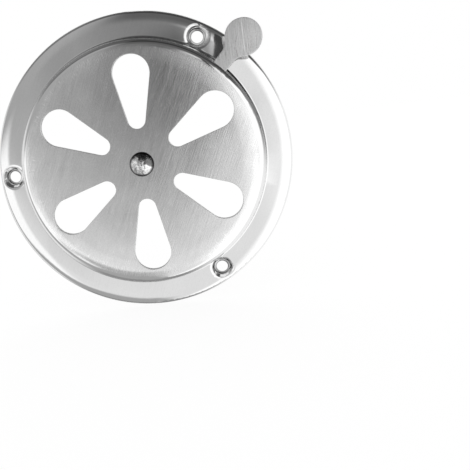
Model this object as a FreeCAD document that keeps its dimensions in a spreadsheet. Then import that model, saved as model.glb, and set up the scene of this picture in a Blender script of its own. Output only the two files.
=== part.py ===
import FreeCAD, Part
import math
import os
import Sketcher
from FreeCAD import Placement, Rotation, Vector

# Round vent grille of stainless sheet with a turning shutter behind it.
# A shallow round pan is pressed forward out of a flat flange, and its face has six teardrop
# openings. A flat shutter with the same openings lies behind that face on a central bolt. Its
# neck leaves through a slot in the pan's wall and ends in a round tab in front of the flange.
#
# Frame: the wall is the plane Y = 0, the vent faces -Y, +Z is up and the bolt is the Y axis.
# "Height" below means the distance in front of the wall. Angles are counter-clockwise as seen
# from the front, from +X. The shutter is drawn open.

SIZES = {
    # fixed grille: one pressed sheet
    "outer_diameter": 102.0,
    "sheet_thickness": 0.6,
    "flange_width": 9.0,          # outer edge to the foot of the pan's wall
    "flange_height": 2.3,
    "flange_flat_width": 4.6,     # level band beside the pan, before the flange falls away
    "flange_fall_radius": 20.0,   # section radius of the falling outer band
    "rim_radius": 1.6,
    "disc_height": 7.6,
    "wall_draft": 10.0,           # degrees
    "shoulder_radius": 2.2,
    "foot_radius": 0.7,
    # teardrop openings, the same in grille and shutter
    "petal_count": 6,
    "petal_hub_radius": 11.8,     # inner ends of the openings
    "petal_rim_width": 2.8,       # outer ends to the edge of the disc's flat
    "petal_small_radius": 3.0,
    "petal_big_radius": 6.25,
    # countersunk screw dimples
    "screw_count": 3,
    "screw_angle": 60.0,          # degrees, the first one
    "screw_inset": 5.1,           # outer edge to the screw circle
    "screw_hole_diameter": 4.0,
    "screw_mouth_diameter": 7.4,
    "dimple_edge_radius": 0.8,
    # shutter and its slot
    "shutter_thickness": 0.7,
    "shutter_gap": 0.2,           # running gap behind the disc
    "shutter_rim_reach": 0.2,     # how far the shutter goes past the disc's flat
    "shutter_travel": 30.0,       # degrees from open to closed, clockwise
    "handle_angle": 44.6,         # degrees, open
    "neck_width": 5.0,
    "neck_fillet_radius": 5.0,
    "tab_diameter": 12.2,
    "tab_overhang": 1.9,          # tab centre beyond the flange's outer edge
    "slot_clearance": 0.1,        # above the neck
    "slot_drop": 0.5,             # below the neck
    "slot_end_clearance": 0.3,    # at each end of the neck's travel
    # pivot fasteners
    "bolt_diameter": 5.0,
    "bolt_hole_clearance": 0.1,   # radial, in the disc
    "pivot_clearance": 0.08,      # radial, in the shutter
    "head_diameter": 8.2,
    "head_height": 2.0,
    "head_edge": 0.4,
    "bolt_end_chamfer": 0.5,
    "bolt_end_recess": 0.5,       # bolt end to the nut's outer face
    "washer_diameter": 10.0,
    "washer_thickness": 1.0,
    "washer_clearance": 0.15,     # radial
    "washer_edge": 0.15,
    "washer_gap": 0.1,            # running gap behind the shutter
    "nut_across_flats": 8.0,
    "nut_height": 4.0,
    "nut_chamfer_angle": 30.0,    # degrees
    "thread_clearance": 0.05,     # radial, nut on bolt
}

doc = FreeCAD.newDocument("round_vent_grille")
sheet = doc.addObject("Spreadsheet::Sheet", "Sizes")
for row, (alias, number) in enumerate(SIZES.items(), 1):
    sheet.set(f"A{row}", alias)
    sheet.set(f"B{row}", str(number))
    sheet.setAlias(f"B{row}", alias)
doc.recompute()

# Places that several pieces share, worked out from the sheet
OUTER_RADIUS = "(Sizes.outer_diameter / 2)"
FOOT_RADIUS = f"({OUTER_RADIUS} - Sizes.flange_width)"
FALL_START = f"({FOOT_RADIUS} + Sizes.flange_flat_width)"
FALL_CENTRE = "(Sizes.flange_height - Sizes.flange_fall_radius)"
RIM_START = f"({OUTER_RADIUS} - Sizes.rim_radius)"
RIM_CENTRE = (f"({FALL_CENTRE} + sqrt((Sizes.flange_fall_radius - Sizes.rim_radius) ^ 2"
              f" - ({RIM_START} - {FALL_START}) ^ 2))")
SHOULDER_CORNER = f"({FOOT_RADIUS} - (Sizes.disc_height - Sizes.flange_height) * tan(Sizes.wall_draft))"
FLAT_RADIUS = f"({SHOULDER_CORNER} - Sizes.shoulder_radius * tan(45 - Sizes.wall_draft / 2))"
PETAL_OUTER = f"({FLAT_RADIUS} - Sizes.petal_rim_width)"
SCREW_RADIUS = f"({OUTER_RADIUS} - Sizes.screw_inset)"
DISC_BACK = "(Sizes.disc_height - Sizes.sheet_thickness)"
SHUTTER_FRONT = f"({DISC_BACK} - Sizes.shutter_gap)"
SHUTTER_BACK = f"({SHUTTER_FRONT} - Sizes.shutter_thickness)"
SHUTTER_RADIUS = f"({FLAT_RADIUS} + Sizes.shutter_rim_reach)"
WASHER_FRONT = f"({SHUTTER_BACK} - Sizes.washer_gap)"
NUT_FRONT = f"({WASHER_FRONT} - Sizes.washer_thickness)"
NUT_BACK = f"({NUT_FRONT} - Sizes.nut_height)"
BOLT_END = f"({NUT_BACK} + Sizes.bolt_end_recess)"
BOLT_RADIUS = "(Sizes.bolt_diameter / 2)"
CUT_MARGIN = 1.0


def value(expression):
    """The number that an expression on the sheet gives."""
    result = sheet.evalExpression(str(expression))
    return float(getattr(result, "Value", result))


def new_body(name):
    body = doc.addObject("PartDesign::Body", name)
    body.Label = name
    return body


def origin_part(body, role):
    return next(part for part in body.Origin.OriginFeatures if part.Role == role)


def section_sketch(body, name, turn="0"):
    """A sketch in the plane of the bolt's axis and a direction: x is the radius, y is Y."""
    sketch = body.newObject("Sketcher::SketchObject", name)
    sketch.AttachmentSupport = [(origin_part(body, "XY_Plane"), "")]
    sketch.MapMode = "FlatFace"
    sketch.AttachmentOffset = Placement(Vector(), Rotation(Vector(0, 1, 0), -value(turn)))
    sketch.setExpression("AttachmentOffset.Rotation.Angle", f"-({turn}) * 1 deg")
    return sketch


def face_sketch(body, name, height, turn="0"):
    """A sketch seen from the front at a height: x and y are X and Z before its turn."""
    sketch = body.newObject("Sketcher::SketchObject", name)
    sketch.AttachmentSupport = [(origin_part(body, "XZ_Plane"), "")]
    sketch.MapMode = "FlatFace"
    sketch.AttachmentOffset = Placement(Vector(0, 0, value(height)), Rotation(Vector(0, 0, 1), value(turn)))
    sketch.setExpression("AttachmentOffset.Base.z", str(height))
    sketch.setExpression("AttachmentOffset.Rotation.Angle", f"({turn}) * 1 deg")
    return sketch


def dimension(sketch, kind, target, expression):
    """Adds a dimension to a sketch and binds it to an expression on the sheet."""
    index = sketch.addConstraint(Sketcher.Constraint(kind, *target, value(expression)))
    name = f"{kind}{index}"
    sketch.renameConstraint(index, name)
    sketch.setExpression(f"Constraints.{name}", str(expression))


def place(sketch, piece, end, x, y):
    """Dimensions one point of a sketch from the origin; None leaves a coordinate free."""
    for kind, axis, expression in (("DistanceX", -2, x), ("DistanceY", -1, y)):
        if expression == 0:
            sketch.addConstraint(Sketcher.Constraint("PointOnObject", piece, end, axis))
        elif expression is not None:
            dimension(sketch, kind, (-1, 1, piece, end), expression)


def line(sketch, start, stop):
    points = [Vector(value(x), value(y), 0) for x, y in (start, stop)]
    return sketch.addGeometry(Part.LineSegment(*points), False)


def arc(sketch, centre, radius, first, last):
    """An arc from one angle to another, in degrees, counter-clockwise."""
    circle = Part.Circle(Vector(value(centre[0]), value(centre[1]), 0), Vector(0, 0, 1), value(radius))
    piece = sketch.addGeometry(Part.ArcOfCircle(circle, math.radians(first), math.radians(last)), False)
    dimension(sketch, "Radius", (piece,), radius)
    return piece


def join(sketch, first, first_end, second, second_end, kind="Coincident"):
    sketch.addConstraint(Sketcher.Constraint(kind, first, first_end, second, second_end))


def outline(sketch, corners):
    """A closed outline of straight lines, each corner dimensioned from the origin."""
    pieces = [line(sketch, *pair) for pair in zip(corners, corners[1:] + corners[:1])]
    for piece, following in zip(pieces, pieces[1:] + pieces[:1]):
        join(sketch, piece, 2, following, 1)
    for piece, (x, y) in zip(pieces, corners):
        place(sketch, piece, 1, x, y)
    return pieces


def circle(sketch, radius):
    piece = sketch.addGeometry(Part.Circle(Vector(), Vector(0, 0, 1), value(radius)), False)
    join(sketch, piece, 3, -1, 1)
    dimension(sketch, "Radius", (piece,), radius)


def revolve(body, name, sketch, kind="Revolution", axis="V_Axis", angle="360"):
    """Turns a section about an axis of its sketch."""
    feature = body.newObject(f"PartDesign::{kind}", name)
    feature.Profile = sketch
    feature.ReferenceAxis = (sketch, [axis])
    feature.setExpression("Angle", f"({angle}) * 1 deg")
    doc.recompute()
    return feature


def extrude(body, name, sketch, kind, length):
    """Pads a sketch towards the front, or pockets it towards the wall."""
    feature = body.newObject(f"PartDesign::{kind}", name)
    feature.Profile = sketch
    feature.setExpression("Length", str(length))
    doc.recompute()
    return feature


def repeat(body, name, features, count):
    """Repeats features evenly about the bolt's axis."""
    pattern = body.newObject("PartDesign::PolarPattern", name)
    pattern.Originals = features
    pattern.Axis = (origin_part(body, "Y_Axis"), [""])
    pattern.Angle = 360
    pattern.setExpression("Occurrences", count)
    body.Tip = pattern
    doc.recompute()
    return pattern


def round_edge(body, name, base, edge_radius, edge_height, fillet_radius):
    """Rounds the circular edge of this radius at this height."""
    def matches(curve):
        return (isinstance(curve, Part.Circle) and abs(curve.Radius - value(edge_radius)) < 1e-4
                and abs(curve.Center.y + value(edge_height)) < 1e-4)
    names = [f"Edge{number}" for number, edge in enumerate(base.Shape.Edges, 1) if matches(edge.Curve)]
    fillet = body.newObject("PartDesign::Fillet", name)
    fillet.Base = (base, names)
    fillet.setExpression("Radius", fillet_radius)
    doc.recompute()
    return fillet


def cut_petals(body, front, depth):
    """Six teardrop openings: two round ends joined by tangent sides, the first one upwards."""
    small, big = "Sizes.petal_small_radius", "Sizes.petal_big_radius"
    inner_centre = f"(Sizes.petal_hub_radius + {small})"
    outer_centre = f"({PETAL_OUTER} - {big})"
    lean = math.degrees(math.asin((value(big) - value(small)) / (value(outer_centre) - value(inner_centre))))
    sketch = face_sketch(body, f"{body.Name}_petal", front)
    bottom = arc(sketch, ("0", inner_centre), small, 180 - lean, 360 + lean)
    top = arc(sketch, ("0", outer_centre), big, -lean, 180 + lean)
    ends = [sketch.Geometry[piece] for piece in (bottom, top)]
    right = sketch.addGeometry(Part.LineSegment(ends[0].EndPoint, ends[1].StartPoint), False)
    left = sketch.addGeometry(Part.LineSegment(ends[1].EndPoint, ends[0].StartPoint), False)
    place(sketch, bottom, 3, 0, inner_centre)
    place(sketch, top, 3, 0, outer_centre)
    for first, second in ((bottom, right), (right, top), (top, left), (left, bottom)):
        join(sketch, first, 2, second, 1, "Tangent")
    pocket = extrude(body, f"{body.Name}_petal_cut", sketch, "Pocket", depth)
    return repeat(body, f"{body.Name}_petals", [pocket], "Sizes.petal_count")


def cut_centre_hole(body, front, depth, radius):
    sketch = face_sketch(body, f"{body.Name}_centre", front)
    circle(sketch, radius)
    return extrude(body, f"{body.Name}_centre_hole", sketch, "Pocket", depth)


# Fixed grille: the pan and flange are turned as one solid and hollowed to the sheet's thickness
def make_fixed_grille():
    body = new_body("fixed_grille")
    sketch = section_sketch(body, "pan_section")
    corners = [
        ("0", "0"),
        (OUTER_RADIUS, "0"),
        (OUTER_RADIUS, f"-{RIM_CENTRE}"),
        (FALL_START, "-Sizes.flange_height"),
        (FOOT_RADIUS, "-Sizes.flange_height"),
        (SHOULDER_CORNER, "-Sizes.disc_height"),
        ("0", "-Sizes.disc_height"),
    ]
    back, skirt = (line(sketch, corners[n], corners[n + 1]) for n in (0, 1))
    run, rise = value(f"{RIM_START} - {FALL_START}"), value(f"{RIM_CENTRE} - {FALL_CENTRE}")
    meeting = 360 - math.degrees(math.atan2(rise, run))
    rim = arc(sketch, (RIM_START, f"-{RIM_CENTRE}"), "Sizes.rim_radius", meeting, 360)
    fall = arc(sketch, (FALL_START, f"-{FALL_CENTRE}"), "Sizes.flange_fall_radius", 270, meeting)
    band, wall, disc = (line(sketch, corners[n], corners[n + 1]) for n in (3, 4, 5))
    axis = line(sketch, corners[6], corners[0])
    join(sketch, back, 2, skirt, 1)
    join(sketch, skirt, 2, rim, 2, "Tangent")
    join(sketch, rim, 1, fall, 2, "Tangent")
    join(sketch, fall, 1, band, 1, "Tangent")
    join(sketch, band, 2, wall, 1)
    join(sketch, wall, 2, disc, 1)
    join(sketch, disc, 2, axis, 1)
    join(sketch, axis, 2, back, 1)
    join(sketch, back, 1, -1, 1)
    for piece in (back, band, disc):
        sketch.addConstraint(Sketcher.Constraint("Horizontal", piece))
    for piece in (skirt, axis):
        sketch.addConstraint(Sketcher.Constraint("Vertical", piece))
    place(sketch, back, 2, OUTER_RADIUS, None)
    place(sketch, band, 1, FALL_START, "-Sizes.flange_height")
    place(sketch, band, 2, FOOT_RADIUS, None)
    place(sketch, disc, 1, SHOULDER_CORNER, "-Sizes.disc_height")
    solid = revolve(body, "pan_solid", sketch)
    solid = round_edge(body, "shoulder", solid, SHOULDER_CORNER, "Sizes.disc_height", "Sizes.shoulder_radius")
    solid = round_edge(body, "foot", solid, FOOT_RADIUS, "Sizes.flange_height", "Sizes.foot_radius")

    hollow = body.newObject("PartDesign::Thickness", "sheet")
    wall_side = [f"Face{number}" for number, face in enumerate(solid.Shape.Faces, 1)
                 if face.BoundBox.YMin > -1e-4]
    hollow.Base = (solid, wall_side)
    hollow.Reversed = True
    hollow.setExpression("Value", "Sizes.sheet_thickness")
    doc.recompute()

    add_screw_dimples(body)
    cut_slot(body)
    through = "Sizes.sheet_thickness + Sizes.shutter_gap / 2"
    cut_petals(body, "Sizes.disc_height", through)
    cut_centre_hole(body, "Sizes.disc_height", through, f"{BOLT_RADIUS} + Sizes.bolt_hole_clearance")
    return body


def dimple_section(body, name):
    """A section sketch through the first screw hole, with that hole's axis as its first axis."""
    sketch = section_sketch(body, name, "Sizes.screw_angle")
    ends = [Vector(value(SCREW_RADIUS), y, 0) for y in (0, CUT_MARGIN)]
    axis = sketch.addGeometry(Part.LineSegment(*ends), True)
    sketch.addConstraint(Sketcher.Constraint("Vertical", axis))
    place(sketch, axis, 1, SCREW_RADIUS, 0)
    return sketch


def add_screw_dimples(body):
    """Countersunk dimples whose bottoms stand on the wall, as pressed from the front."""
    hole, mouth = "(Sizes.screw_hole_diameter / 2)", "(Sizes.screw_mouth_diameter / 2)"
    level, edge = "Sizes.flange_height", "Sizes.dimple_edge_radius"
    edge_run = f"({edge} * tan(22.5))"
    boss_top = f"({level} - Sizes.sheet_thickness * 3 / 4)"

    boss = dimple_section(body, "dimple_back")
    outline(boss, [
        (SCREW_RADIUS, 0),
        (f"{SCREW_RADIUS} + {hole}", 0),
        (f"{SCREW_RADIUS} + {hole} + {boss_top}", f"-{boss_top}"),
        (SCREW_RADIUS, f"-{boss_top}"),
    ])
    added = revolve(body, "dimple_boss", boss, axis="Axis0")

    cone_end = f"({level} - ({mouth} - {hole}))"
    arc_start = f"({SCREW_RADIUS} + {mouth} + {edge_run})"
    arc_top = f"({level} + {edge} / 20)"  # a little past the band, so that the cut crosses it
    recess = dimple_section(body, "dimple_front")
    corners = [
        (SCREW_RADIUS, f"-({level} + {CUT_MARGIN})"),
        (SCREW_RADIUS, CUT_MARGIN),
        (f"{SCREW_RADIUS} + {hole}", CUT_MARGIN),
        (f"{SCREW_RADIUS} + {hole}", f"-{cone_end}"),
    ]
    middle, bottom, side = (line(recess, corners[n], corners[n + 1]) for n in range(3))
    rounding = arc(recess, (arc_start, f"-({arc_top} - {edge})"), edge, 225, 270)
    arc_end = recess.Geometry[rounding].StartPoint
    cone = recess.addGeometry(Part.LineSegment(recess.Geometry[side].EndPoint, arc_end), False)
    lift = line(recess, (arc_start, f"-{arc_top}"), (arc_start, f"-({level} + {CUT_MARGIN})"))
    top = line(recess, (arc_start, f"-({level} + {CUT_MARGIN})"), corners[0])
    join(recess, middle, 2, bottom, 1)
    join(recess, bottom, 2, side, 1)
    join(recess, side, 2, cone, 1)
    join(recess, cone, 2, rounding, 1, "Tangent")
    join(recess, rounding, 2, lift, 1)
    join(recess, lift, 2, top, 1)
    join(recess, top, 2, middle, 1)
    place(recess, middle, 1, *corners[0])
    place(recess, middle, 2, *corners[1])
    place(recess, side, 1, *corners[2])
    place(recess, side, 2, *corners[3])
    place(recess, rounding, 3, arc_start, None)
    place(recess, lift, 1, arc_start, f"-{arc_top}")
    place(recess, lift, 2, arc_start, f"-({level} + {CUT_MARGIN})")
    cut = revolve(body, "dimple_recess", recess, kind="Groove", axis="Axis0")
    repeat(body, "screw_dimples", [added, cut], "Sizes.screw_count")


def cut_slot(body):
    """The arc slot in the pan's wall that lets the shutter's neck out; its ends are the stops."""
    inner = f"({SHUTTER_RADIUS} - {CUT_MARGIN})"
    outer = f"({FOOT_RADIUS} + {CUT_MARGIN})"
    bottom = f"({SHUTTER_BACK} - Sizes.slot_drop)"
    top = f"({SHUTTER_FRONT} + Sizes.slot_clearance)"
    end_angle = f"asin((Sizes.neck_width / 2 + Sizes.slot_end_clearance) / {SHUTTER_RADIUS}) / 1 deg"
    sketch = section_sketch(body, "slot_section",
                            f"Sizes.handle_angle - Sizes.shutter_travel - {end_angle}")
    outline(sketch, [(inner, f"-{bottom}"), (outer, f"-{bottom}"), (outer, f"-{top}"), (inner, f"-{top}")])
    slot = revolve(body, "slot", sketch, kind="Groove", angle=f"Sizes.shutter_travel + 2 * {end_angle}")
    slot.Reversed = True
    doc.recompute()
    return slot


# Shutter: one flat sheet with the same openings, a neck and a round tab
def make_shutter():
    body = new_body("shutter")
    disc = face_sketch(body, "shutter_disc", SHUTTER_BACK)
    circle(disc, SHUTTER_RADIUS)
    extrude(body, "shutter_plate", disc, "Pad", "Sizes.shutter_thickness")

    half, fillet, tab = "(Sizes.neck_width / 2)", "Sizes.neck_fillet_radius", "(Sizes.tab_diameter / 2)"
    tab_centre = f"({OUTER_RADIUS} + Sizes.tab_overhang)"
    fillet_side = f"({half} + {fillet})"
    fillet_place = f"({tab_centre} - sqrt(({tab} + {fillet}) ^ 2 - {fillet_side} ^ 2))"
    root = f"({SHUTTER_RADIUS} - Sizes.neck_width)"
    slope = math.degrees(math.atan2(value(fillet_side), value(tab_centre) - value(fillet_place)))
    sketch = face_sketch(body, "handle_outline", SHUTTER_BACK, "Sizes.handle_angle")
    lower = line(sketch, (root, f"-{half}"), (fillet_place, f"-{half}"))
    lower_fillet = arc(sketch, (fillet_place, f"-{fillet_side}"), fillet, slope, 90)
    end = arc(sketch, (tab_centre, "0"), tab, slope - 180, 180 - slope)
    upper_fillet = arc(sketch, (fillet_place, fillet_side), fillet, 270, 360 - slope)
    upper = line(sketch, (fillet_place, half), (root, half))
    base = line(sketch, (root, half), (root, f"-{half}"))
    join(sketch, base, 2, lower, 1)
    join(sketch, lower, 2, lower_fillet, 2, "Tangent")
    join(sketch, lower_fillet, 1, end, 1, "Tangent")
    join(sketch, end, 2, upper_fillet, 2, "Tangent")
    join(sketch, upper_fillet, 1, upper, 1, "Tangent")
    join(sketch, upper, 2, base, 1)
    sketch.addConstraint(Sketcher.Constraint("Horizontal", lower))
    sketch.addConstraint(Sketcher.Constraint("Horizontal", upper))
    place(sketch, lower, 1, root, f"-{half}")
    place(sketch, upper, 2, root, half)
    place(sketch, end, 3, tab_centre, 0)
    extrude(body, "handle", sketch, "Pad", "Sizes.shutter_thickness")

    cut_petals(body, SHUTTER_FRONT, "Sizes.shutter_thickness")
    cut_centre_hole(body, SHUTTER_FRONT, "Sizes.shutter_thickness", f"{BOLT_RADIUS} + Sizes.pivot_clearance")
    return body


# Pivot bolt: a domed head on the disc and a plain-drawn shank through the stack
def make_pivot_bolt():
    body = new_body("pivot_bolt")
    head = "(Sizes.head_diameter / 2)"
    crown = "(Sizes.head_height - Sizes.head_edge)"
    dome = f"(({head} ^ 2 + {crown} ^ 2) / (2 * {crown}))"
    top = "(Sizes.disc_height + Sizes.head_height)"
    edge = "(Sizes.disc_height + Sizes.head_edge)"
    centre = f"({top} - {dome})"
    spread = math.degrees(math.asin(value(head) / value(dome)))
    chamfer = "Sizes.bolt_end_chamfer"
    sketch = section_sketch(body, "bolt_section")
    corners = [
        (head, f"-{edge}"),
        (head, "-Sizes.disc_height"),
        (BOLT_RADIUS, "-Sizes.disc_height"),
        (BOLT_RADIUS, f"-({BOLT_END} + {chamfer})"),
        (f"{BOLT_RADIUS} - {chamfer}", f"-{BOLT_END}"),
        ("0", f"-{BOLT_END}"),
        ("0", f"-{top}"),
    ]
    pieces = [line(sketch, *pair) for pair in zip(corners, corners[1:])]
    crown_arc = arc(sketch, ("0", f"-{centre}"), dome, 270, 270 + spread)
    for piece, following in zip(pieces, pieces[1:]):
        join(sketch, piece, 2, following, 1)
    join(sketch, pieces[-1], 2, crown_arc, 1)
    join(sketch, crown_arc, 2, pieces[0], 1)
    for piece, (x, y) in zip(pieces[:5], corners):
        place(sketch, piece, 1, x, y)
    place(sketch, pieces[5], 1, 0, f"-{BOLT_END}")
    sketch.addConstraint(Sketcher.Constraint("PointOnObject", pieces[5], 2, -2))
    sketch.addConstraint(Sketcher.Constraint("PointOnObject", crown_arc, 3, -2))
    revolve(body, "bolt", sketch)
    return body


# Washer: a flat ring with eased edges
def make_washer():
    body = new_body("washer")
    inner, outer = f"({BOLT_RADIUS} + Sizes.washer_clearance)", "(Sizes.washer_diameter / 2)"
    ease = "Sizes.washer_edge"
    sketch = section_sketch(body, "washer_section")
    outline(sketch, [
        (inner, f"-{NUT_FRONT}"),
        (outer, f"-{NUT_FRONT}"),
        (outer, f"-({WASHER_FRONT} - {ease})"),
        (f"{outer} - {ease}", f"-{WASHER_FRONT}"),
        (inner, f"-{WASHER_FRONT}"),
    ])
    revolve(body, "ring", sketch)
    return body


# Nut: a hexagon with both faces chamfered to the flats' circle
def make_nut():
    body = new_body("nut")
    flats = "(Sizes.nut_across_flats / 2)"
    corner = f"({flats} / cos(30))"
    sketch = face_sketch(body, "hexagon", NUT_BACK)
    corners = [(f"{corner} * cos({60 * side})", f"{corner} * sin({60 * side})") for side in range(6)]
    outline(sketch, [(x, 0 if side % 3 == 0 else y) for side, (x, y) in enumerate(corners)])
    extrude(body, "hexagon_pad", sketch, "Pad", "Sizes.nut_height")
    cut_centre_hole(body, NUT_FRONT, "Sizes.nut_height", f"{BOLT_RADIUS} + Sizes.thread_clearance")

    reach = f"({corner} + {CUT_MARGIN})"
    rise = f"(({reach} - {flats}) * tan(Sizes.nut_chamfer_angle))"
    for name, level, towards in (("front", NUT_FRONT, "-"), ("back", NUT_BACK, "+")):
        chamfer = section_sketch(body, f"{name}_chamfer_section")
        outline(chamfer, [
            (flats, f"-{level}"),
            (reach, f"-({level} {towards} {rise})"),
            (reach, f"-{level}"),
        ])
        revolve(body, f"{name}_chamfer", chamfer, kind="Groove")
    return body


def check_document():
    """Stops if any object failed to build or any piece isn't one valid solid."""
    doc.recompute()
    for item in doc.Objects:
        if {"Invalid", "Error"} & set(item.State):
            raise RuntimeError(f"{item.Name} did not build: {item.State}")
        if item.isDerivedFrom("PartDesign::Feature") and (item.Shape.isNull() or not item.Shape.isValid()):
            raise RuntimeError(f"{item.Name} has no valid shape")


def check_cuts(body):
    """Stops if a cut of this body took nothing away."""
    for item in body.Group:
        cuts = item.isDerivedFrom("PartDesign::Pocket") or item.isDerivedFrom("PartDesign::Groove")
        if cuts and item.Shape.Volume > item.BaseFeature.Shape.Volume - 1e-3:
            raise RuntimeError(f"{item.Name} cuts nothing")


pieces = [make_fixed_grille(), make_shutter(), make_pivot_bolt(), make_washer(), make_nut()]
check_document()
os.makedirs("parts", exist_ok=True)
for piece in pieces:
    check_cuts(piece)
    shape = piece.Shape
    if shape.isNull() or not shape.isValid() or len(shape.Solids) != 1:
        raise RuntimeError(f"{piece.Label} isn't one valid solid")
    shape.exportStep(f"parts/{piece.Label}.step")
    print(piece.Label, "volume", round(shape.Volume, 2), "mm3, box", shape.BoundBox)
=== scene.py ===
import math
import bpy
from mathutils import Matrix, Vector


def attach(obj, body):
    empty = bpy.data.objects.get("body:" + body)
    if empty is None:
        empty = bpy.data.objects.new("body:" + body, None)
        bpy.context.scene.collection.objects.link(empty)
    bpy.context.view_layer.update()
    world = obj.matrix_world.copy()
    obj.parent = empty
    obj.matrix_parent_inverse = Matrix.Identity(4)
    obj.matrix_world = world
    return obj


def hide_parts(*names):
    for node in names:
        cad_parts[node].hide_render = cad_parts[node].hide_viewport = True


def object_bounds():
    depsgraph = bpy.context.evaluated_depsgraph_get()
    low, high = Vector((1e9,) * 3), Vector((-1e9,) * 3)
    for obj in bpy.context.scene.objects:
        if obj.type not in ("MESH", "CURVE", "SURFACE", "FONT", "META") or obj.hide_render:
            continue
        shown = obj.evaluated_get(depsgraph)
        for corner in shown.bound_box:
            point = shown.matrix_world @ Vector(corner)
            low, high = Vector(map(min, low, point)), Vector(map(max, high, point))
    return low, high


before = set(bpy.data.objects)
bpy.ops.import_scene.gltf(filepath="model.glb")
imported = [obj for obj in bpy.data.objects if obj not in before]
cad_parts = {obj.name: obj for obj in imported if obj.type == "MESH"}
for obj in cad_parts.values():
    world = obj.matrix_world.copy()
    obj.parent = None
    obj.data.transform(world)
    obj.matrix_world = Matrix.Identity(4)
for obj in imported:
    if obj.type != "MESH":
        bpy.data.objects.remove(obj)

# Round vent grille of stainless sheet. The wall is the plane Y = 0, the vent faces -Y and the
# pivot bolt lies along Y. Lengths are in metres, and angles run from +X towards +Z.
cad_low, cad_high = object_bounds()
bpy.ops.object.select_all(action="DESELECT")

# Fixed grille: one sheet of stainless steel, pressed into a shallow pan with a falling flange and
# punched with six teardrops. The pan's face keeps the sheet's brushed grain; the flange is
# polished by the pressing tool. It is screwed to the wall through three countersunk dimples.
MM = 0.001
STEEL_TONE = 0.78
BRUSH_DIRECTION = 66
FACE_EDGE = 38.8 * MM
WORN_FROM = 35 * MM
PUNCHED_EDGE_RADIUS = 0.2 * MM
SCREW_CIRCLE_RADIUS = 45.9 * MM
SCREW_SPACING = math.radians(120)
DIMPLE_MOUTH, DIMPLE_THROAT, SCREW_HOLE = 4.6 * MM, 2.9 * MM, 2 * MM
SLOT_SHADE_SWEEP = [math.radians(angle) for angle in (-20, 17, 46, 49)]
SLOT_SHADE_RADII = (40.3 * MM, 40.8 * MM, 42.1 * MM, 42.5 * MM)
SHARP_EDGE = math.radians(50)


def new_material(name):
    """A steel with its Principled shader and the piece's own coordinates."""
    material = bpy.data.materials.new(name)
    material.use_nodes = True
    shader = material.node_tree.nodes["Principled BSDF"]
    shader.inputs["Metallic"].default_value = 1.0
    place = material.node_tree.nodes.new("ShaderNodeTexCoord").outputs["Object"]
    return material, shader, place


def add_node(material, kind, sources, **settings):
    """Adds a node, fed by numbers or by other nodes' outputs, and gives its output."""
    node = material.node_tree.nodes.new(kind)
    for name, setting in settings.items():
        setattr(node, name, setting)
    for socket, source in sources.items():
        if isinstance(source, bpy.types.NodeSocket):
            material.node_tree.links.new(source, node.inputs[socket])
        else:
            node.inputs[socket].default_value = source
    return next(output for output in node.outputs if output.enabled)


def remap(material, source, low, high, to_low=0.0, to_high=1.0):
    """A soft step from one level to another."""
    return add_node(material, "ShaderNodeMapRange", {
        0: source, 1: low, 2: high, 3: to_low, 4: to_high}, interpolation_type="SMOOTHSTEP")


def combine(material, operation, *sources):
    """One Math node."""
    return add_node(material, "ShaderNodeMath", dict(enumerate(sources)), operation=operation)


def chain(material, operation, sources):
    """One operation over several outputs or numbers, from left to right."""
    result = sources[0]
    for source in sources[1:]:
        result = combine(material, operation, result, source)
    return result


def total(material, *sources):
    return chain(material, "ADD", sources)


def product(material, *sources):
    return chain(material, "MULTIPLY", sources)


def scaled(material, source, amount):
    """A pattern from 0 to 1, moved to lie about 0 and multiplied by an amount."""
    return product(material, combine(material, "SUBTRACT", source, 0.5), amount)


def mix(material, share, first, second):
    """The first where the share is 0 and the second where it is 1."""
    return add_node(material, "ShaderNodeMix", {0: share, 2: first, 3: second}, data_type="FLOAT")


def band(material, source, start, full, fade, end):
    """1 from full to fade, and 0 before start and after end."""
    return product(material, remap(material, source, start, full), remap(material, source, end, fade))


def noise(material, place, size, detail=1.0):
    """Patches of about a size: one length, or one for each axis."""
    sizes = (size, size, size) if isinstance(size, float) else size
    stretched = add_node(material, "ShaderNodeMapping", {
        "Vector": place, "Scale": sizes}, vector_type="TEXTURE")
    return add_node(material, "ShaderNodeTexNoise", {
        "Vector": stretched, "Scale": 1.0, "Detail": detail})


def grain(material, place, direction, width, length, detail=3.0):
    """Streaks that run in a direction of the front, in degrees."""
    turned = add_node(material, "ShaderNodeMapping", {
        "Vector": place, "Rotation": (0, math.radians(direction), 0)})
    return noise(material, turned, (length, length, width), detail)


def scratches(material, place, direction, width, length, share):
    """Sparse fine lines: streaks that rise above a level, thinned out by patches."""
    lines = remap(material, grain(material, place, direction, width, length, 1.0), 0.68, 0.74)
    patches = noise(material, place, 9 * MM)
    return product(material, lines, remap(material, patches, 1 - share, 1.1 - share))


def across_and_up(material, place):
    """How far right and how far up a point lies, seen from the front."""
    split = material.node_tree.nodes.new("ShaderNodeSeparateXYZ")
    material.node_tree.links.new(place, split.inputs[0])
    return split.outputs["X"], split.outputs["Z"]


def radius_from_axis(material, place):
    """A point's distance from the bolt's axis."""
    flat = add_node(material, "ShaderNodeVectorMath", {0: place, 1: (1, 0, 1)}, operation="MULTIPLY")
    return add_node(material, "ShaderNodeVectorMath", {0: flat}, operation="LENGTH")


def finish(material, shader, tone, roughness, height, edge=PUNCHED_EDGE_RADIUS):
    """Joins a tone, a roughness and a height in metres to the shader, with rounded sheet edges."""
    material.node_tree.links.new(tone, shader.inputs["Base Color"])
    material.node_tree.links.new(roughness, shader.inputs["Roughness"])
    rounded = add_node(material, "ShaderNodeBevel", {"Radius": edge}, samples=4)
    bumped = add_node(material, "ShaderNodeBump", {
        "Strength": 1.0, "Distance": 1.0, "Height": height, "Normal": rounded})
    material.node_tree.links.new(bumped, shader.inputs["Normal"])


def dress(piece, material):
    """Gives a piece its only material."""
    piece.data.materials.clear()
    piece.data.materials.append(material)


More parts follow.
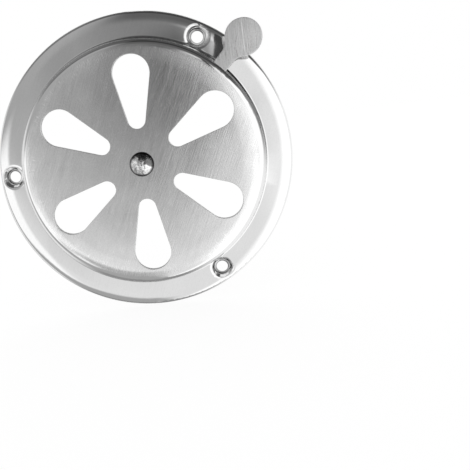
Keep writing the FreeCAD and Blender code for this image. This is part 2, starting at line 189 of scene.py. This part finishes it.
grille_steel, shader, place = new_material("pressed_stainless")
radius = radius_from_axis(grille_steel, place)
across, up = across_and_up(grille_steel, place)
sweep = combine(grille_steel, "ARCTAN2", up, across)
brushed = remap(grille_steel, radius, FACE_EDGE + 0.6 * MM, FACE_EDGE - 0.6 * MM)
fine = grain(grille_steel, place, BRUSH_DIRECTION, 0.22 * MM, 7 * MM)
broad = grain(grille_steel, place, BRUSH_DIRECTION, 1.5 * MM, 22 * MM, 2.0)
blotches = noise(grille_steel, place, 9 * MM, 3.0)
mottle = noise(grille_steel, place, 0.5 * MM, 2.0)

# Tone of the face: streaks in patches, scratches, and lines rubbed bright round its edge.
marks = total(grille_steel, scratches(grille_steel, place, 80, 0.16 * MM, 9 * MM, 0.42),
              scratches(grille_steel, place, 98, 0.14 * MM, 6 * MM, 0.38))
strength = remap(grille_steel, noise(grille_steel, place, 13 * MM), 0.35, 0.65, 0.5, 1.5)
streaks = product(grille_steel, strength, total(
    grille_steel, scaled(grille_steel, fine, 0.2), scaled(grille_steel, broad, 0.1)))
polar = add_node(grille_steel, "ShaderNodeCombineXYZ", {
    0: radius, 2: product(grille_steel, sweep, 38 * MM)})
rubs = remap(grille_steel, noise(grille_steel, polar, (2.5 * MM, 1.0, 0.3 * MM)), 0.56, 0.68)
rubbed = product(grille_steel, rubs, brushed,
                 remap(grille_steel, radius, WORN_FROM, WORN_FROM + 2.5 * MM),
                 remap(grille_steel, blotches, 0.42, 0.56))
worn_edge = remap(grille_steel, radius, WORN_FROM, WORN_FROM + 2.6 * MM, 0, 0.03)
face_tone = total(grille_steel, streaks, worn_edge, scaled(grille_steel, mottle, 0.16),
                  scaled(grille_steel, blotches, 0.16), product(grille_steel, marks, 0.14),
                  product(grille_steel, rubbed, 0.2))

# Tone of the flange, with painted shade in the throats of the three screw dimples and over the slot.
flange_tone = total(grille_steel, scaled(grille_steel, fine, 0.06), scaled(grille_steel, mottle, 0.06),
                    scaled(grille_steel, blotches, 0.06))
bearing = combine(grille_steel, "SUBTRACT", combine(
    grille_steel, "WRAP", sweep, SCREW_SPACING, 0), SCREW_SPACING / 2)
beyond = combine(grille_steel, "SUBTRACT", product(
    grille_steel, radius, combine(grille_steel, "COSINE", bearing)), SCREW_CIRCLE_RADIUS)
beside = product(grille_steel, radius, combine(grille_steel, "SINE", bearing))
from_screw = combine(grille_steel, "SQRT", total(
    grille_steel, product(grille_steel, beyond, beyond), product(grille_steel, beside, beside)))
# Painted shade: a dark band on the pan's wall over the slot.
slot_shade = product(grille_steel, band(grille_steel, sweep, *SLOT_SHADE_SWEEP),
                    band(grille_steel, radius, *SLOT_SHADE_RADII))
# Painted shade darkens the dimple throats next to the screw holes, and the band over the slot.
tone = product(
    grille_steel, total(grille_steel, STEEL_TONE, mix(grille_steel, brushed, flange_tone, face_tone)),
    remap(grille_steel, from_screw, 2.8 * MM, 2.2 * MM, 1, 0.35),
    remap(grille_steel, slot_shade, 0, 1, 1, 0.3))
rough_face = total(grille_steel, 0.19, scaled(grille_steel, fine, 0.1), scaled(grille_steel, broad, 0.08))
rough_flange = total(grille_steel, 0.035, scaled(grille_steel, blotches, 0.04))

# Heights: the brushed grain, the slight fall of the face towards its edge and over its shoulder,
# which is least at the left, the soft mouths of the dimples, and shallow waves in the sheet.
fine_height = product(grille_steel, scaled(grille_steel, fine, 0.02 * MM), brushed)
sink = product(grille_steel, remap(grille_steel, radius, 33 * MM, 41 * MM, 0, -0.26 * MM),
               remap(grille_steel, across, -18 * MM, -36 * MM, 1, 0.15))
shoulder = product(grille_steel, remap(grille_steel, radius, 36.6 * MM, 41.5 * MM, 0, -0.5 * MM),
                   remap(grille_steel, up, 5 * MM, -28 * MM, 0.25, 1),
                   remap(grille_steel, across, -22 * MM, -38 * MM, 1, 0.45))
trumpet = total(grille_steel, remap(grille_steel, from_screw, DIMPLE_MOUTH, DIMPLE_THROAT, 0, -0.22 * MM),
                remap(grille_steel, from_screw, DIMPLE_THROAT, SCREW_HOLE, 0, -0.16 * MM))
waves = scaled(grille_steel, noise(grille_steel, place, 17 * MM, 0.0),
               mix(grille_steel, brushed, 0.025 * MM, 0.2 * MM))
finish(grille_steel, shader, tone, mix(grille_steel, brushed, rough_flange, rough_face),
       total(grille_steel, fine_height, sink, shoulder, waves, trumpet))

# The polished flange mirrors every seam of the CAD mesh, so a copy is merged and smooth shaded.
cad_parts["fixed_grille"].select_set(True)
bpy.context.view_layer.objects.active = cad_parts["fixed_grille"]
bpy.ops.object.duplicate()
pressed_grille = bpy.context.object
pressed_grille.name = "pressed_grille"
bpy.ops.object.mode_set(mode="EDIT")
bpy.ops.mesh.select_all(action="SELECT")
bpy.ops.mesh.customdata_custom_splitnormals_clear()
bpy.ops.mesh.remove_doubles(threshold=0.001 * MM)
bpy.ops.object.mode_set(mode="OBJECT")
bpy.ops.object.shade_smooth_by_angle(angle=SHARP_EDGE)
bpy.ops.object.modifier_add(type="WEIGHTED_NORMAL")
weighted_normal = pressed_grille.modifiers[0]
weighted_normal.mode = "FACE_AREA_WITH_ANGLE"
weighted_normal.keep_sharp = True
bpy.ops.object.modifier_apply(modifier=weighted_normal.name)
dress(pressed_grille, grille_steel)
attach(pressed_grille, "frame")
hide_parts("fixed_grille")

# Shutter: a flat disc of brushed sheet with the same openings, whose neck leaves through the slot
# and ends in the round tab. It turns on the pivot bolt. Fingers have scratched the tab, and
# painted shade darkens the neck where it passes the slot.
TAB_SCRATCH_ACROSS = 37.55 * MM
TAB_SCRATCH_LOW, TAB_SCRATCH_HIGH = 32.5 * MM, 42.3 * MM
SHEARED_EDGE_RADIUS = 0.4 * MM
shutter_steel, shader, place = new_material("brushed_shutter_sheet")
radius = radius_from_axis(shutter_steel, place)
across, up = across_and_up(shutter_steel, place)
fine = grain(shutter_steel, place, 90, 0.2 * MM, 6 * MM)
broad = grain(shutter_steel, place, 90, 1.2 * MM, 18 * MM, 2.0)
blotches = noise(shutter_steel, place, 7 * MM, 3.0)
mottle = noise(shutter_steel, place, 0.45 * MM, 2.0)
beside = combine(shutter_steel, "ABSOLUTE", combine(
    shutter_steel, "SUBTRACT", across, TAB_SCRATCH_ACROSS))
along = band(shutter_steel, up, TAB_SCRATCH_LOW - MM, TAB_SCRATCH_LOW + MM,
             TAB_SCRATCH_HIGH - MM, TAB_SCRATCH_HIGH + MM)
long_scratch = product(shutter_steel, remap(shutter_steel, beside, 0.16 * MM, 0.05 * MM), along)
marks = total(shutter_steel, scratches(shutter_steel, place, 84, 0.15 * MM, 8 * MM, 0.5), long_scratch)
# Painted shade on the neck where it passes into the slot.
neck_slot_shade = band(shutter_steel, radius, 39.25 * MM, 39.4 * MM, 40.5 * MM, 41 * MM)
tone = total(shutter_steel, STEEL_TONE - 0.09, scaled(shutter_steel, fine, 0.42),
             scaled(shutter_steel, broad, 0.2), scaled(shutter_steel, blotches, 0.2),
             scaled(shutter_steel, mottle, 0.3), product(shutter_steel, marks, 0.24))
tone = product(shutter_steel, tone, remap(shutter_steel, neck_slot_shade, 0, 1, 1, 0.3))
rough = total(shutter_steel, 0.3, scaled(shutter_steel, fine, 0.15), scaled(shutter_steel, broad, 0.1))
waves = scaled(shutter_steel, noise(shutter_steel, place, 14 * MM, 0.0), 0.12 * MM)
finish(shutter_steel, shader, tone, rough, total(
    shutter_steel, waves, scaled(shutter_steel, fine, 0.03 * MM)), edge=SHEARED_EDGE_RADIUS)
dress(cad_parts["shutter"], shutter_steel)

# Pivot bolt: cold-headed bright stainless with a domed head. Its dome is a little uneven from the
# heading die and polished. Painted contact shade darkens its rim where it meets the shutter, and a
# painted dark reflection darkens a patch at the upper right of the dome.
HEAD_RADIUS = 4.1 * MM
bolt_steel, shader, place = new_material("polished_bolt_head")
radius = radius_from_axis(bolt_steel, place)
across, up = across_and_up(bolt_steel, place)
dents = noise(bolt_steel, place, 1.05 * MM, 2.0)
ragged = scaled(bolt_steel, noise(bolt_steel, place, 1.3 * MM, 2.0), 6 * MM)
to_upper_right = total(bolt_steel, up, product(bolt_steel, across, 0.8), ragged)
# The tone is darkened by painted contact shade at the rim and a painted dark reflection at the upper
# right.
tone = product(
    bolt_steel, total(bolt_steel, STEEL_TONE - 0.08, scaled(bolt_steel, dents, 1.1)),
    remap(bolt_steel, radius, HEAD_RADIUS - 0.15 * MM, HEAD_RADIUS - 1.1 * MM, 0.08, 1),
    remap(bolt_steel, to_upper_right, 0.7 * MM, 1.8 * MM, 1, 0.22))
rough = total(bolt_steel, 0.08, scaled(bolt_steel, dents, 0.05))
finish(bolt_steel, shader, tone, rough, scaled(bolt_steel, dents, 0.3 * MM))
dress(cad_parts["pivot_bolt"], bolt_steel)

# Washer and nut: a punched washer and a turned hexagon nut of bright stainless, which hold the
# shutter on the bolt from behind. Their faces carry the rings of the turning tool.
for name, ring in (("washer", 0.35 * MM), ("nut", 0.22 * MM)):
    fastener_steel, shader, place = new_material("turned_" + name)
    cloud = noise(fastener_steel, place, 1.6 * MM, 3.0)
    outwards = add_node(fastener_steel, "ShaderNodeCombineXYZ", {
        0: radius_from_axis(fastener_steel, place)})
    rings = noise(fastener_steel, outwards, ring, 2.0)
    tone = total(fastener_steel, STEEL_TONE - 0.08, scaled(fastener_steel, rings, 0.25),
                 scaled(fastener_steel, cloud, 0.2))
    rough = total(fastener_steel, 0.2, scaled(fastener_steel, cloud, 0.15))
    finish(fastener_steel, shader, tone, rough, scaled(fastener_steel, rings, 0.02 * MM))
    dress(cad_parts[name], fastener_steel)

# Studio: the grey and white cards that the steel mirrors, a pale floor, a plain white world and
# the camera. The front card is painted as a room: a grey wall between a dim ceiling and a table,
# a shelf, a window at the right, another at the lower left, and the ground.
UPRIGHT = (math.radians(90), 0, 0)
CARD_DISTANCE = 0.5
SHELF = (0.004, -CARD_DISTANCE, 0.055)
RING_RADIUS = 0.6
BACK_DISTANCE = 0.6
STRIP_MIDDLE = Vector((0.0545, MM - CARD_DISTANCE, 0.085))
STRIP_LEAN = math.radians(14)
FLOOR_DEPTH = 0.5 * MM
FLOOR_GLOW, FLOOR_GLOW_SHARE = 1.05, 0.85
WORLD_LIGHT = 0.8


def glow(card, paint, shader, strength):
    """Paints a card that only gloss sees: it neither shows nor throws a shadow."""
    lamp = add_node(paint, "ShaderNodeEmission", {"Strength": strength})
    paint.node_tree.links.new(lamp, paint.node_tree.nodes["Material Output"].inputs["Surface"])
    paint.node_tree.nodes.remove(shader)
    dress(card, paint)
    card.visible_camera = False
    card.visible_diffuse = False
    card.visible_shadow = False


bpy.ops.mesh.primitive_plane_add(size=3, location=(0, -CARD_DISTANCE, 0), rotation=UPRIGHT)
bpy.ops.object.transform_apply()
front_card = bpy.context.object
front_card.name = "front_card"
card_paint, shader, place = new_material("studio_in_front")
across, up = across_and_up(card_paint, place)
right_wall = product(card_paint, remap(card_paint, across, 0, 0.047, 0, 0.4),
                     remap(card_paint, up, 0.19, 0.13))
high_wall = total(card_paint, remap(card_paint, across, -0.03, -0.21, 0.26, 0.46), right_wall)
low_wall = remap(card_paint, across, -0.02, -0.2, 0.37, 0.56)
wall = mix(card_paint, remap(card_paint, up, 0.07, -0.055), high_wall, low_wall)
ceiling = product(card_paint, remap(card_paint, up, 0.1, 0.28), remap(card_paint, across, -0.16, -0.04))
from_shelf = add_node(card_paint, "ShaderNodeVectorMath", {0: place, 1: SHELF}, operation="DISTANCE")
wall = product(card_paint, wall, remap(card_paint, ceiling, 0, 1, 1, 0.52),
               remap(card_paint, up, 0.4, 0.75, 1, 0.3),
               remap(card_paint, from_shelf, 0.03, 0.09, 0.42, 1))
table_edge = combine(card_paint, "MULTIPLY_ADD", across, 0.3, up)
room = mix(card_paint, remap(card_paint, table_edge, -0.077, -0.257), wall, 0.92)
left_edge = combine(card_paint, "MULTIPLY_ADD", up, 0.25, across)
left_window = product(card_paint, remap(card_paint, left_edge, -0.222, -0.32),
                      remap(card_paint, up, 0.1, -0.03))
room = mix(card_paint, left_window, room, 1.25)
window_top = combine(card_paint, "MULTIPLY_ADD", across, -0.45, up)
window_side = combine(card_paint, "MULTIPLY_ADD", up, -0.7, across)
window = product(card_paint, remap(card_paint, window_top, 0.18, 0.08), mix(
    card_paint, remap(card_paint, up, -0.01, 0.05), remap(card_paint, window_side, 0.035, 0.107),
    remap(card_paint, across, 0.036, 0.064)))
into_window = combine(card_paint, "MULTIPLY_ADD", up, -0.12, across)
room = mix(card_paint, window, room, remap(card_paint, into_window, 0.09, 0.2, 0.92, 1.35))
ground_edge = combine(card_paint, "MULTIPLY_ADD", across, 0.33, up)
ground = product(card_paint, remap(card_paint, ground_edge, -0.345, -0.405),
                 remap(card_paint, across, -0.005, -0.085))
glow(front_card, card_paint, shader, mix(card_paint, ground, room, 0.45))

# Side ring: grey, white at the left and at the lower right, and dark at the top.
bpy.ops.mesh.primitive_cylinder_add(vertices=96, radius=RING_RADIUS, depth=0.48, end_fill_type="NOTHING",
                                    location=(0, 0.02, 0), rotation=UPRIGHT)
bpy.ops.object.transform_apply()
side_ring = bpy.context.object
side_ring.name = "side_ring"
ring_paint, shader, place = new_material("sides")
across, up = across_and_up(ring_paint, place)
left_side = mix(ring_paint, remap(ring_paint, across, -0.28, -0.45), 0.32, 0.95)
lower_right = product(ring_paint, remap(ring_paint, across, 0.05, 0.3), remap(ring_paint, up, 0.45, 0.15))
sides = mix(ring_paint, lower_right, left_side, 1.1)
top = remap(ring_paint, across, -0.05, -0.35, 0.1, 0.25)
glow(side_ring, ring_paint, shader, mix(ring_paint, remap(ring_paint, up, 0.1, 0.42), sides, top))

# Dark strip, just before the front card: it leans to the right and then runs on up to the right.
# The flange beside the neck mirrors it.
bpy.ops.mesh.primitive_plane_add(size=0.03, location=STRIP_MIDDLE,
                                 rotation=(math.radians(90), STRIP_LEAN, 0))
bpy.ops.transform.resize(value=(0.5, 1, 1), orient_type="LOCAL")
bpy.ops.object.transform_apply()
dark_strip = bpy.context.object
dark_strip.name = "dark_strip"
for vertex in dark_strip.data.vertices:
    vertex.select = vertex.co.z > STRIP_MIDDLE.z
bpy.ops.object.mode_set(mode="EDIT")
bpy.ops.mesh.select_mode(type="EDGE")
bpy.ops.mesh.extrude_edges_move(TRANSFORM_OT_translate={"value": (0.086, 0, 0.129)})
bpy.ops.object.mode_set(mode="OBJECT")
strip_paint, shader, _ = new_material("dark_strip")
glow(dark_strip, strip_paint, shader, 0.06)

# Back card: grey in the middle, and white round it apart from the lower left.
bpy.ops.mesh.primitive_plane_add(size=2, location=(0, BACK_DISTANCE, 0), rotation=UPRIGHT)
bpy.ops.object.transform_apply()
back_card = bpy.context.object
back_card.name = "back_card"
back_paint, shader, place = new_material("studio_behind")
across, up = across_and_up(back_paint, place)
middle = total(back_paint, remap(back_paint, across, -0.3, 0.5, 0.35, 0.7),
               remap(back_paint, up, -0.1, -0.4, 0, 0.25))
outer = mix(back_paint, remap(back_paint, across, 0.1, 0.3),
            remap(back_paint, up, -0.05, -0.25, 1.15, 0.5), 1.15)
glow(back_card, back_paint, shader, mix(
    back_paint, remap(back_paint, radius_from_axis(back_paint, place), 0.25, 0.4), middle, outer))


def seen(material):
    """1 where the camera looks, also by a mirror or through glass, and 0 where light is gathered."""
    path = material.node_tree.nodes.new("ShaderNodeLightPath")
    shown = combine(material, "MAXIMUM", path.outputs["Is Camera Ray"], path.outputs["Is Glossy Ray"])
    return combine(material, "MAXIMUM", shown, path.outputs["Is Transmission Ray"])


bpy.ops.mesh.primitive_plane_add(size=4, location=(0, 0, cad_low.z - FLOOR_DEPTH))
floor = bpy.context.object
floor.name = "floor"
floor_paint = bpy.data.materials.new("pale_floor")
floor_paint.use_nodes = True
floor_shader = floor_paint.node_tree.nodes["Principled BSDF"]
floor_shader.inputs["Base Color"].default_value = (0.9, 0.9, 0.9, 1)
floor_shader.inputs["Roughness"].default_value = 0.8
white = add_node(floor_paint, "ShaderNodeEmission", {"Strength": FLOOR_GLOW})
blend = add_node(floor_paint, "ShaderNodeMixShader", {
    0: product(floor_paint, seen(floor_paint), FLOOR_GLOW_SHARE), 1: floor_shader.outputs[0], 2: white})
floor_paint.node_tree.links.new(blend, floor_paint.node_tree.nodes["Material Output"].inputs["Surface"])
dress(floor, floor_paint)
floor.visible_glossy = False

world = bpy.data.worlds.new("studio")
bpy.context.scene.world = world
world.use_nodes = True
background = world.node_tree.nodes["Background"]
background.inputs["Color"].default_value = (1, 1, 1, 1)
world.node_tree.links.new(remap(world, seen(world), 0, 1, WORLD_LIGHT, 1), background.inputs["Strength"])

CAMERA_PLACE = Vector((20.97, -180.31, 15.18)) * MM
AIM = Vector((9.2, 0, -7.56)) * MM
ROLL = math.radians(6.82)
bpy.ops.object.camera_add(location=CAMERA_PLACE)
camera = bpy.context.object
look = (AIM - CAMERA_PLACE).to_track_quat("-Z", "Y")
camera.rotation_euler = (look.to_matrix() @ Matrix.Rotation(-ROLL, 3, "Z")).to_euler()
camera.data.sensor_width = 36
camera.data.lens = 40
camera.data.shift_x = 0.1317
camera.data.shift_y = -0.116
camera.data.clip_start = 0.01
bpy.context.scene.camera = camera

bpy.context.scene.view_settings.view_transform = "Standard"
